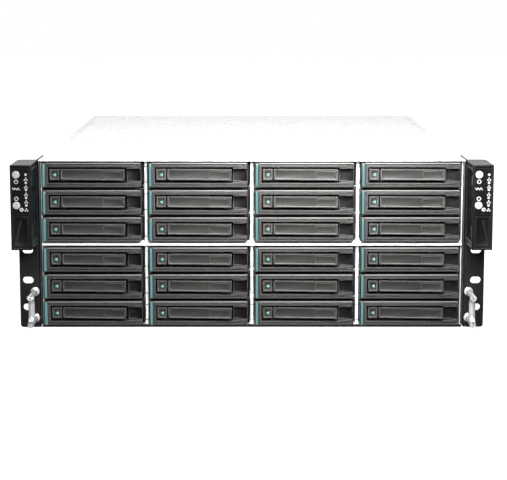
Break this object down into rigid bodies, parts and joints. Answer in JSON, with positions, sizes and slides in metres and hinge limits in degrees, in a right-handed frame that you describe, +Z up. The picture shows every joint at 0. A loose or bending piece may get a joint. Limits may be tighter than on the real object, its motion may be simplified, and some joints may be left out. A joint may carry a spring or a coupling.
{
  "type": "disk shelf enclosure",
  "caption": "Rack-mounted disk shelf: sheet metal body with hot-swap drive trays with levers, rack ears, control pods, pull handles, supplies and I/O modules.",
  "frame": {"origin": "under the middle of the whole enclosure", "axes": "+X right seen from the front, +Y to the back, +Z up"},
  "size_m": [0.4826, 0.577, 0.176],
  "materials": {
    "zinc_steel": "zinc plated sheet, satin",
    "black_steel": "black powder coat",
    "pod_plastic": "fine textured black moulding",
    "tray_plastic": "warm dark grey moulding with a fine texture",
    "lever_plastic": "warm grey moulding with a fine texture",
    "board": "green solder mask",
    "module_steel": "zinc plated sheet, satin",
    "chrome": "polished",
    "button": "white moulding"
  },
  "bodies": {
    "enclosure": {"chassis_base": "zinc_steel", "top_cover": "zinc_steel", "drive_cage": "zinc_steel", "backplane": "board", "power_supplies": "module_steel", "io_modules": "module_steel", "rack_ears": "black_steel", "pull_handles": "chrome", "control_pods": "pod_plastic", "port_covers": "pod_plastic"},
    "tray_c1_r1": {"tray_c1_r1": "tray_plastic"},
    "tray_c1_r2": {"tray_c1_r2": "tray_plastic"},
    "tray_c1_r3": {"tray_c1_r3": "tray_plastic"},
    "tray_c1_r4": {"tray_c1_r4": "tray_plastic"},
    "tray_c1_r5": {"tray_c1_r5": "tray_plastic"},
    "tray_c1_r6": {"tray_c1_r6": "tray_plastic"},
    "tray_c2_r1": {"tray_c2_r1": "tray_plastic"},
    "tray_c2_r2": {"tray_c2_r2": "tray_plastic"},
    "tray_c2_r3": {"tray_c2_r3": "tray_plastic"},
    "tray_c2_r4": {"tray_c2_r4": "tray_plastic"},
    "tray_c2_r5": {"tray_c2_r5": "tray_plastic"},
    "tray_c2_r6": {"tray_c2_r6": "tray_plastic"},
    "tray_c3_r1": {"tray_c3_r1": "tray_plastic"},
    "tray_c3_r2": {"tray_c3_r2": "tray_plastic"},
    "tray_c3_r3": {"tray_c3_r3": "tray_plastic"},
    "tray_c3_r4": {"tray_c3_r4": "tray_plastic"},
    "tray_c3_r5": {"tray_c3_r5": "tray_plastic"},
    "tray_c3_r6": {"tray_c3_r6": "tray_plastic"},
    "tray_c4_r1": {"tray_c4_r1": "tray_plastic"},
    "tray_c4_r2": {"tray_c4_r2": "tray_plastic"},
    "tray_c4_r3": {"tray_c4_r3": "tray_plastic"},
    "tray_c4_r4": {"tray_c4_r4": "tray_plastic"},
    "tray_c4_r5": {"tray_c4_r5": "tray_plastic"},
    "tray_c4_r6": {"tray_c4_r6": "tray_plastic"},
    "lever_c1_r1": {"lever_c1_r1": "lever_plastic"},
    "lever_c1_r2": {"lever_c1_r2": "lever_plastic"},
    "lever_c1_r3": {"lever_c1_r3": "lever_plastic"},
    "lever_c1_r4": {"lever_c1_r4": "lever_plastic"},
    "lever_c1_r5": {"lever_c1_r5": "lever_plastic"},
    "lever_c1_r6": {"lever_c1_r6": "lever_plastic"},
    "lever_c2_r1": {"lever_c2_r1": "lever_plastic"},
    "lever_c2_r2": {"lever_c2_r2": "lever_plastic"},
    "lever_c2_r3": {"lever_c2_r3": "lever_plastic"},
    "lever_c2_r4": {"lever_c2_r4": "lever_plastic"},
    "lever_c2_r5": {"lever_c2_r5": "lever_plastic"},
    "lever_c2_r6": {"lever_c2_r6": "lever_plastic"},
    "lever_c3_r1": {"lever_c3_r1": "lever_plastic"},
    "lever_c3_r2": {"lever_c3_r2": "lever_plastic"},
    "lever_c3_r3": {"lever_c3_r3": "lever_plastic"},
    "lever_c3_r4": {"lever_c3_r4": "lever_plastic"},
    "lever_c3_r5": {"lever_c3_r5": "lever_plastic"},
    "lever_c3_r6": {"lever_c3_r6": "lever_plastic"},
    "lever_c4_r1": {"lever_c4_r1": "lever_plastic"},
    "lever_c4_r2": {"lever_c4_r2": "lever_plastic"},
    "lever_c4_r3": {"lever_c4_r3": "lever_plastic"},
    "lever_c4_r4": {"lever_c4_r4": "lever_plastic"},
    "lever_c4_r5": {"lever_c4_r5": "lever_plastic"},
    "lever_c4_r6": {"lever_c4_r6": "lever_plastic"},
    "left_push_button": {"left_push_button": "button"},
    "right_push_button": {"right_push_button": "button"}
  },
  "joints": [
    {"name": "slide_c1_r1", "type": "slide", "parent": "enclosure", "child": "tray_c1_r1", "axis": [0, -1, 0], "range_m": [0, 0.18]},
    {"name": "slide_c1_r2", "type": "slide", "parent": "enclosure", "child": "tray_c1_r2", "axis": [0, -1, 0], "range_m": [0, 0.18]},
    {"name": "slide_c1_r3", "type": "slide", "parent": "enclosure", "child": "tray_c1_r3", "axis": [0, -1, 0], "range_m": [0, 0.18]},
    {"name": "slide_c1_r4", "type": "slide", "parent": "enclosure", "child": "tray_c1_r4", "axis": [0, -1, 0], "range_m": [0, 0.18]},
    {"name": "slide_c1_r5", "type": "slide", "parent": "enclosure", "child": "tray_c1_r5", "axis": [0, -1, 0], "range_m": [0, 0.18]},
    {"name": "slide_c1_r6", "type": "slide", "parent": "enclosure", "child": "tray_c1_r6", "axis": [0, -1, 0], "range_m": [0, 0.18]},
    {"name": "slide_c2_r1", "type": "slide", "parent": "enclosure", "child": "tray_c2_r1", "axis": [0, -1, 0], "range_m": [0, 0.18]},
    {"name": "slide_c2_r2", "type": "slide", "parent": "enclosure", "child": "tray_c2_r2", "axis": [0, -1, 0], "range_m": [0, 0.18]},
    {"name": "slide_c2_r3", "type": "slide", "parent": "enclosure", "child": "tray_c2_r3", "axis": [0, -1, 0], "range_m": [0, 0.18]},
    {"name": "slide_c2_r4", "type": "slide", "parent": "enclosure", "child": "tray_c2_r4", "axis": [0, -1, 0], "range_m": [0, 0.18]},
    {"name": "slide_c2_r5", "type": "slide", "parent": "enclosure", "child": "tray_c2_r5", "axis": [0, -1, 0], "range_m": [0, 0.18]},
    {"name": "slide_c2_r6", "type": "slide", "parent": "enclosure", "child": "tray_c2_r6", "axis": [0, -1, 0], "range_m": [0, 0.18]},
    {"name": "slide_c3_r1", "type": "slide", "parent": "enclosure", "child": "tray_c3_r1", "axis": [0, -1, 0], "range_m": [0, 0.18]},
    {"name": "slide_c3_r2", "type": "slide", "parent": "enclosure", "child": "tray_c3_r2", "axis": [0, -1, 0], "range_m": [0, 0.18]},
    {"name": "slide_c3_r3", "type": "slide", "parent": "enclosure", "child": "tray_c3_r3", "axis": [0, -1, 0], "range_m": [0, 0.18]},
    {"name": "slide_c3_r4", "type": "slide", "parent": "enclosure", "child": "tray_c3_r4", "axis": [0, -1, 0], "range_m": [0, 0.18]},
    {"name": "slide_c3_r5", "type": "slide", "parent": "enclosure", "child": "tray_c3_r5", "axis": [0, -1, 0], "range_m": [0, 0.18]},
    {"name": "slide_c3_r6", "type": "slide", "parent": "enclosure", "child": "tray_c3_r6", "axis": [0, -1, 0], "range_m": [0, 0.18]},
    {"name": "slide_c4_r1", "type": "slide", "parent": "enclosure", "child": "tray_c4_r1", "axis": [0, -1, 0], "range_m": [0, 0.18]},
    {"name": "slide_c4_r2", "type": "slide", "parent": "enclosure", "child": "tray_c4_r2", "axis": [0, -1, 0], "range_m": [0, 0.18]},
    {"name": "slide_c4_r3", "type": "slide", "parent": "enclosure", "child": "tray_c4_r3", "axis": [0, -1, 0], "range_m": [0, 0.18]},
    {"name": "slide_c4_r4", "type": "slide", "parent": "enclosure", "child": "tray_c4_r4", "axis": [0, -1, 0], "range_m": [0, 0.18]},
    {"name": "slide_c4_r5", "type": "slide", "parent": "enclosure", "child": "tray_c4_r5", "axis": [0, -1, 0], "range_m": [0, 0.18]},
    {"name": "slide_c4_r6", "type": "slide", "parent": "enclosure", "child": "tray_c4_r6", "axis": [0, -1, 0], "range_m": [0, 0.18]},
    {"name": "swing_c1_r1", "type": "hinge", "parent": "tray_c1_r1", "child": "lever_c1_r1", "pos_m": [-0.19255, -0.24145, 0.1613], "axis": [0, 0, -1], "range_deg": [0, 60]},
    {"name": "swing_c1_r2", "type": "hinge", "parent": "tray_c1_r2", "child": "lever_c1_r2", "pos_m": [-0.19255, -0.24145, 0.1329], "axis": [0, 0, -1], "range_deg": [0, 60]},
    {"name": "swing_c1_r3", "type": "hinge", "parent": "tray_c1_r3", "child": "lever_c1_r3", "pos_m": [-0.19255, -0.24145, 0.1045], "axis": [0, 0, -1], "range_deg": [0, 60]},
    {"name": "swing_c1_r4", "type": "hinge", "parent": "tray_c1_r4", "child": "lever_c1_r4", "pos_m": [-0.19255, -0.24145, 0.0729], "axis": [0, 0, -1], "range_deg": [0, 60]},
    {"name": "swing_c1_r5", "type": "hinge", "parent": "tray_c1_r5", "child": "lever_c1_r5", "pos_m": [-0.19255, -0.24145, 0.0445], "axis": [0, 0, -1], "range_deg": [0, 60]},
    {"name": "swing_c1_r6", "type": "hinge", "parent": "tray_c1_r6", "child": "lever_c1_r6", "pos_m": [-0.19255, -0.24145, 0.0161], "axis": [0, 0, -1], "range_deg": [0, 60]},
    {"name": "swing_c2_r1", "type": "hinge", "parent": "tray_c2_r1", "child": "lever_c2_r1", "pos_m": [-0.08295, -0.24145, 0.1613], "axis": [0, 0, -1], "range_deg": [0, 60]},
    {"name": "swing_c2_r2", "type": "hinge", "parent": "tray_c2_r2", "child": "lever_c2_r2", "pos_m": [-0.08295, -0.24145, 0.1329], "axis": [0, 0, -1], "range_deg": [0, 60]},
    {"name": "swing_c2_r3", "type": "hinge", "parent": "tray_c2_r3", "child": "lever_c2_r3", "pos_m": [-0.08295, -0.24145, 0.1045], "axis": [0, 0, -1], "range_deg": [0, 60]},
    {"name": "swing_c2_r4", "type": "hinge", "parent": "tray_c2_r4", "child": "lever_c2_r4", "pos_m": [-0.08295, -0.24145, 0.0729], "axis": [0, 0, -1], "range_deg": [0, 60]},
    {"name": "swing_c2_r5", "type": "hinge", "parent": "tray_c2_r5", "child": "lever_c2_r5", "pos_m": [-0.08295, -0.24145, 0.0445], "axis": [0, 0, -1], "range_deg": [0, 60]},
    {"name": "swing_c2_r6", "type": "hinge", "parent": "tray_c2_r6", "child": "lever_c2_r6", "pos_m": [-0.08295, -0.24145, 0.0161], "axis": [0, 0, -1], "range_deg": [0, 60]},
    {"name": "swing_c3_r1", "type": "hinge", "parent": "tray_c3_r1", "child": "lever_c3_r1", "pos_m": [0.02665, -0.24145, 0.1613], "axis": [0, 0, -1], "range_deg": [0, 60]},
    {"name": "swing_c3_r2", "type": "hinge", "parent": "tray_c3_r2", "child": "lever_c3_r2", "pos_m": [0.02665, -0.24145, 0.1329], "axis": [0, 0, -1], "range_deg": [0, 60]},
    {"name": "swing_c3_r3", "type": "hinge", "parent": "tray_c3_r3", "child": "lever_c3_r3", "pos_m": [0.02665, -0.24145, 0.1045], "axis": [0, 0, -1], "range_deg": [0, 60]},
    {"name": "swing_c3_r4", "type": "hinge", "parent": "tray_c3_r4", "child": "lever_c3_r4", "pos_m": [0.02665, -0.24145, 0.0729], "axis": [0, 0, -1], "range_deg": [0, 60]},
    {"name": "swing_c3_r5", "type": "hinge", "parent": "tray_c3_r5", "child": "lever_c3_r5", "pos_m": [0.02665, -0.24145, 0.0445], "axis": [0, 0, -1], "range_deg": [0, 60]},
    {"name": "swing_c3_r6", "type": "hinge", "parent": "tray_c3_r6", "child": "lever_c3_r6", "pos_m": [0.02665, -0.24145, 0.0161], "axis": [0, 0, -1], "range_deg": [0, 60]},
    {"name": "swing_c4_r1", "type": "hinge", "parent": "tray_c4_r1", "child": "lever_c4_r1", "pos_m": [0.13625, -0.24145, 0.1613], "axis": [0, 0, -1], "range_deg": [0, 60]},
    {"name": "swing_c4_r2", "type": "hinge", "parent": "tray_c4_r2", "child": "lever_c4_r2", "pos_m": [0.13625, -0.24145, 0.1329], "axis": [0, 0, -1], "range_deg": [0, 60]},
    {"name": "swing_c4_r3", "type": "hinge", "parent": "tray_c4_r3", "child": "lever_c4_r3", "pos_m": [0.13625, -0.24145, 0.1045], "axis": [0, 0, -1], "range_deg": [0, 60]},
    {"name": "swing_c4_r4", "type": "hinge", "parent": "tray_c4_r4", "child": "lever_c4_r4", "pos_m": [0.13625, -0.24145, 0.0729], "axis": [0, 0, -1], "range_deg": [0, 60]},
    {"name": "swing_c4_r5", "type": "hinge", "parent": "tray_c4_r5", "child": "lever_c4_r5", "pos_m": [0.13625, -0.24145, 0.0445], "axis": [0, 0, -1], "range_deg": [0, 60]},
    {"name": "swing_c4_r6", "type": "hinge", "parent": "tray_c4_r6", "child": "lever_c4_r6", "pos_m": [0.13625, -0.24145, 0.0161], "axis": [0, 0, -1], "range_deg": [0, 60]},
    {"name": "left_button_press", "type": "slide", "parent": "enclosure", "child": "left_push_button", "axis": [0, 1, 0], "range_m": [0, 0.0015], "stiffness_N_per_m": 300},
    {"name": "right_button_press", "type": "slide", "parent": "enclosure", "child": "right_push_button", "axis": [0, 1, 0], "range_m": [0, 0.0015], "stiffness_N_per_m": 300}
  ]
}
